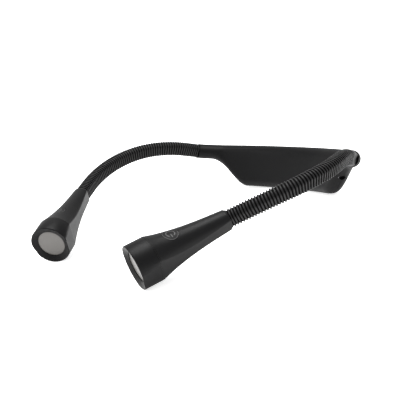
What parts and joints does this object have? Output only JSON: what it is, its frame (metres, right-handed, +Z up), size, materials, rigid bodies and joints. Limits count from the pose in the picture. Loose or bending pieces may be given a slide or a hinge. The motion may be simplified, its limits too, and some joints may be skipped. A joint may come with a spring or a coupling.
{
  "type": "neck reading light",
  "caption": "Neck-worn reading light: a curved battery housing with two ribbed bendable goosenecks, each ending in a bell-shaped lamp head with a push button.",
  "frame": {"origin": "middle of the flat foot under the housing, on the table", "axes": "+Z up, -Y the way the light faces, +X the wearer's left"},
  "size_m": [0.1876, 0.1842, 0.0453],
  "materials": {
    "housing_plastic": "fine matte moulded",
    "head_plastic": "fine matte moulded",
    "collar_plastic": "matte moulded",
    "button_plastic": "satin moulded",
    "sleeve_silicone": "ribbed silicone",
    "core_wire": "drawn wire",
    "battery_foil": "foil pouch",
    "circuit_board": "solder mask",
    "chip_plastic": "moulded",
    "port_metal": "stamped",
    "screw_steel": "machined",
    "lens_diffuser": "frosted",
    "reflector_metal": "vacuum metallised",
    "led_board_metal": "white coated",
    "led_phosphor": "phosphor"
  },
  "bodies": {
    "housing": {"inner_shell": "housing_plastic", "outer_shell": "housing_plastic", "collar_left": "collar_plastic", "collar_right": "collar_plastic", "battery": "battery_foil", "main_board": "circuit_board", "board_parts": "chip_plastic", "charge_port": "port_metal", "housing_screws": "screw_steel"},
    "left_link_1": {"sleeve_left_1": "sleeve_silicone", "core_left_1": "core_wire"},
    "left_link_2": {"sleeve_left_2": "sleeve_silicone", "core_left_2": "core_wire"},
    "left_link_3": {"sleeve_left_3": "sleeve_silicone", "core_left_3": "core_wire"},
    "left_link_4": {"sleeve_left_4": "sleeve_silicone", "core_left_4": "core_wire"},
    "left_link_5": {"sleeve_left_5": "sleeve_silicone", "core_left_5": "core_wire"},
    "left_head": {"bell_left": "head_plastic", "front_cap_left": "head_plastic", "lens_left": "lens_diffuser", "reflector_left": "reflector_metal", "led_board_left": "led_board_metal", "led_chips_left": "led_phosphor", "led_screws_left": "screw_steel", "switch_board_left": "circuit_board", "tact_switch_left": "chip_plastic"},
    "left_button": {"button_left": "button_plastic"},
    "right_link_1": {"sleeve_right_1": "sleeve_silicone", "core_right_1": "core_wire"},
    "right_link_2": {"sleeve_right_2": "sleeve_silicone", "core_right_2": "core_wire"},
    "right_link_3": {"sleeve_right_3": "sleeve_silicone", "core_right_3": "core_wire"},
    "right_link_4": {"sleeve_right_4": "sleeve_silicone", "core_right_4": "core_wire"},
    "right_link_5": {"sleeve_right_5": "sleeve_silicone", "core_right_5": "core_wire"},
    "right_head": {"bell_right": "head_plastic", "front_cap_right": "head_plastic", "lens_right": "lens_diffuser", "reflector_right": "reflector_metal", "led_board_right": "led_board_metal", "led_chips_right": "led_phosphor", "led_screws_right": "screw_steel", "switch_board_right": "circuit_board", "tact_switch_right": "chip_plastic"},
    "right_button": {"button_right": "button_plastic"}
  },
  "joints": [
    {"name": "left_flex_1", "type": "hinge", "parent": "housing", "child": "left_link_1", "pos_m": [0.07274, -0.02285, 0.03047], "axis": [0.0076, 0.3407, 0.9401], "range_deg": [-55, 3]},
    {"name": "left_flex_2", "type": "hinge", "parent": "left_link_1", "child": "left_link_2", "pos_m": [0.08365, -0.03996, 0.03658], "axis": [0.9215, 0.3388, -0.1898], "range_deg": [-50, 7]},
    {"name": "left_flex_3", "type": "hinge", "parent": "left_link_2", "child": "left_link_3", "pos_m": [0.09081, -0.0599, 0.03577], "axis": [0.2499, -0.1431, 0.9576], "range_deg": [-4, 52]},
    {"name": "left_flex_4", "type": "hinge", "parent": "left_link_3", "child": "left_link_4", "pos_m": [0.08862, -0.08083, 0.03321], "axis": [0.8325, -0.4096, -0.3731], "range_deg": [-36, 6]},
    {"name": "left_flex_5", "type": "hinge", "parent": "left_link_4", "child": "left_link_5", "pos_m": [0.07782, -0.09843, 0.02843], "axis": [0.1538, -0.4761, 0.8658], "range_deg": [-21, 36]},
    {"name": "left_flex_6", "type": "hinge", "parent": "left_link_5", "child": "left_head", "pos_m": [0.06433, -0.11366, 0.02246], "axis": [0.9074, -0.1878, -0.376], "range_deg": [-6, 40]},
    {"name": "left_button_press", "type": "slide", "parent": "left_head", "child": "left_button", "axis": [-0.3358, 0.0746, -0.939], "range_m": [0, 0.0005], "stiffness_N_per_m": 400, "springref_m": -0.001},
    {"name": "right_flex_1", "type": "hinge", "parent": "housing", "child": "right_link_1", "pos_m": [-0.07274, -0.02285, 0.03047], "axis": [-0.0066, 0.3513, 0.9362], "range_deg": [-22, 36]},
    {"name": "right_flex_2", "type": "hinge", "parent": "right_link_1", "child": "right_link_2", "pos_m": [-0.07714, -0.04227, 0.03773], "axis": [0.9463, -0.3089, 0.0955], "range_deg": [-41, 17]},
    {"name": "right_flex_3", "type": "hinge", "parent": "right_link_2", "child": "right_link_3", "pos_m": [-0.08391, -0.06217, 0.04047], "axis": [-0.1255, -0.0785, 0.989], "range_deg": [-32, 20]},
    {"name": "right_flex_4", "type": "hinge", "parent": "right_link_3", "child": "right_link_4", "pos_m": [-0.0881, -0.08284, 0.0383], "axis": [0.9746, 0.1099, 0.1952], "range_deg": [-35, 12]},
    {"name": "right_flex_5", "type": "hinge", "parent": "right_link_4", "child": "right_link_5", "pos_m": [-0.08479, -0.10316, 0.03324], "axis": [-0.1406, -0.378, 0.9151], "range_deg": [-47, 11]},
    {"name": "right_flex_6", "type": "hinge", "parent": "right_link_5", "child": "right_head", "pos_m": [-0.07489, -0.12097, 0.0274], "axis": [0.8288, 0.4598, 0.3189], "range_deg": [-30, 28]},
    {"name": "right_button_press", "type": "slide", "parent": "right_head", "child": "right_button", "axis": [0.0292, 0.1187, -0.9925], "range_m": [0, 0.0005], "stiffness_N_per_m": 400, "springref_m": -0.001}
  ]
}
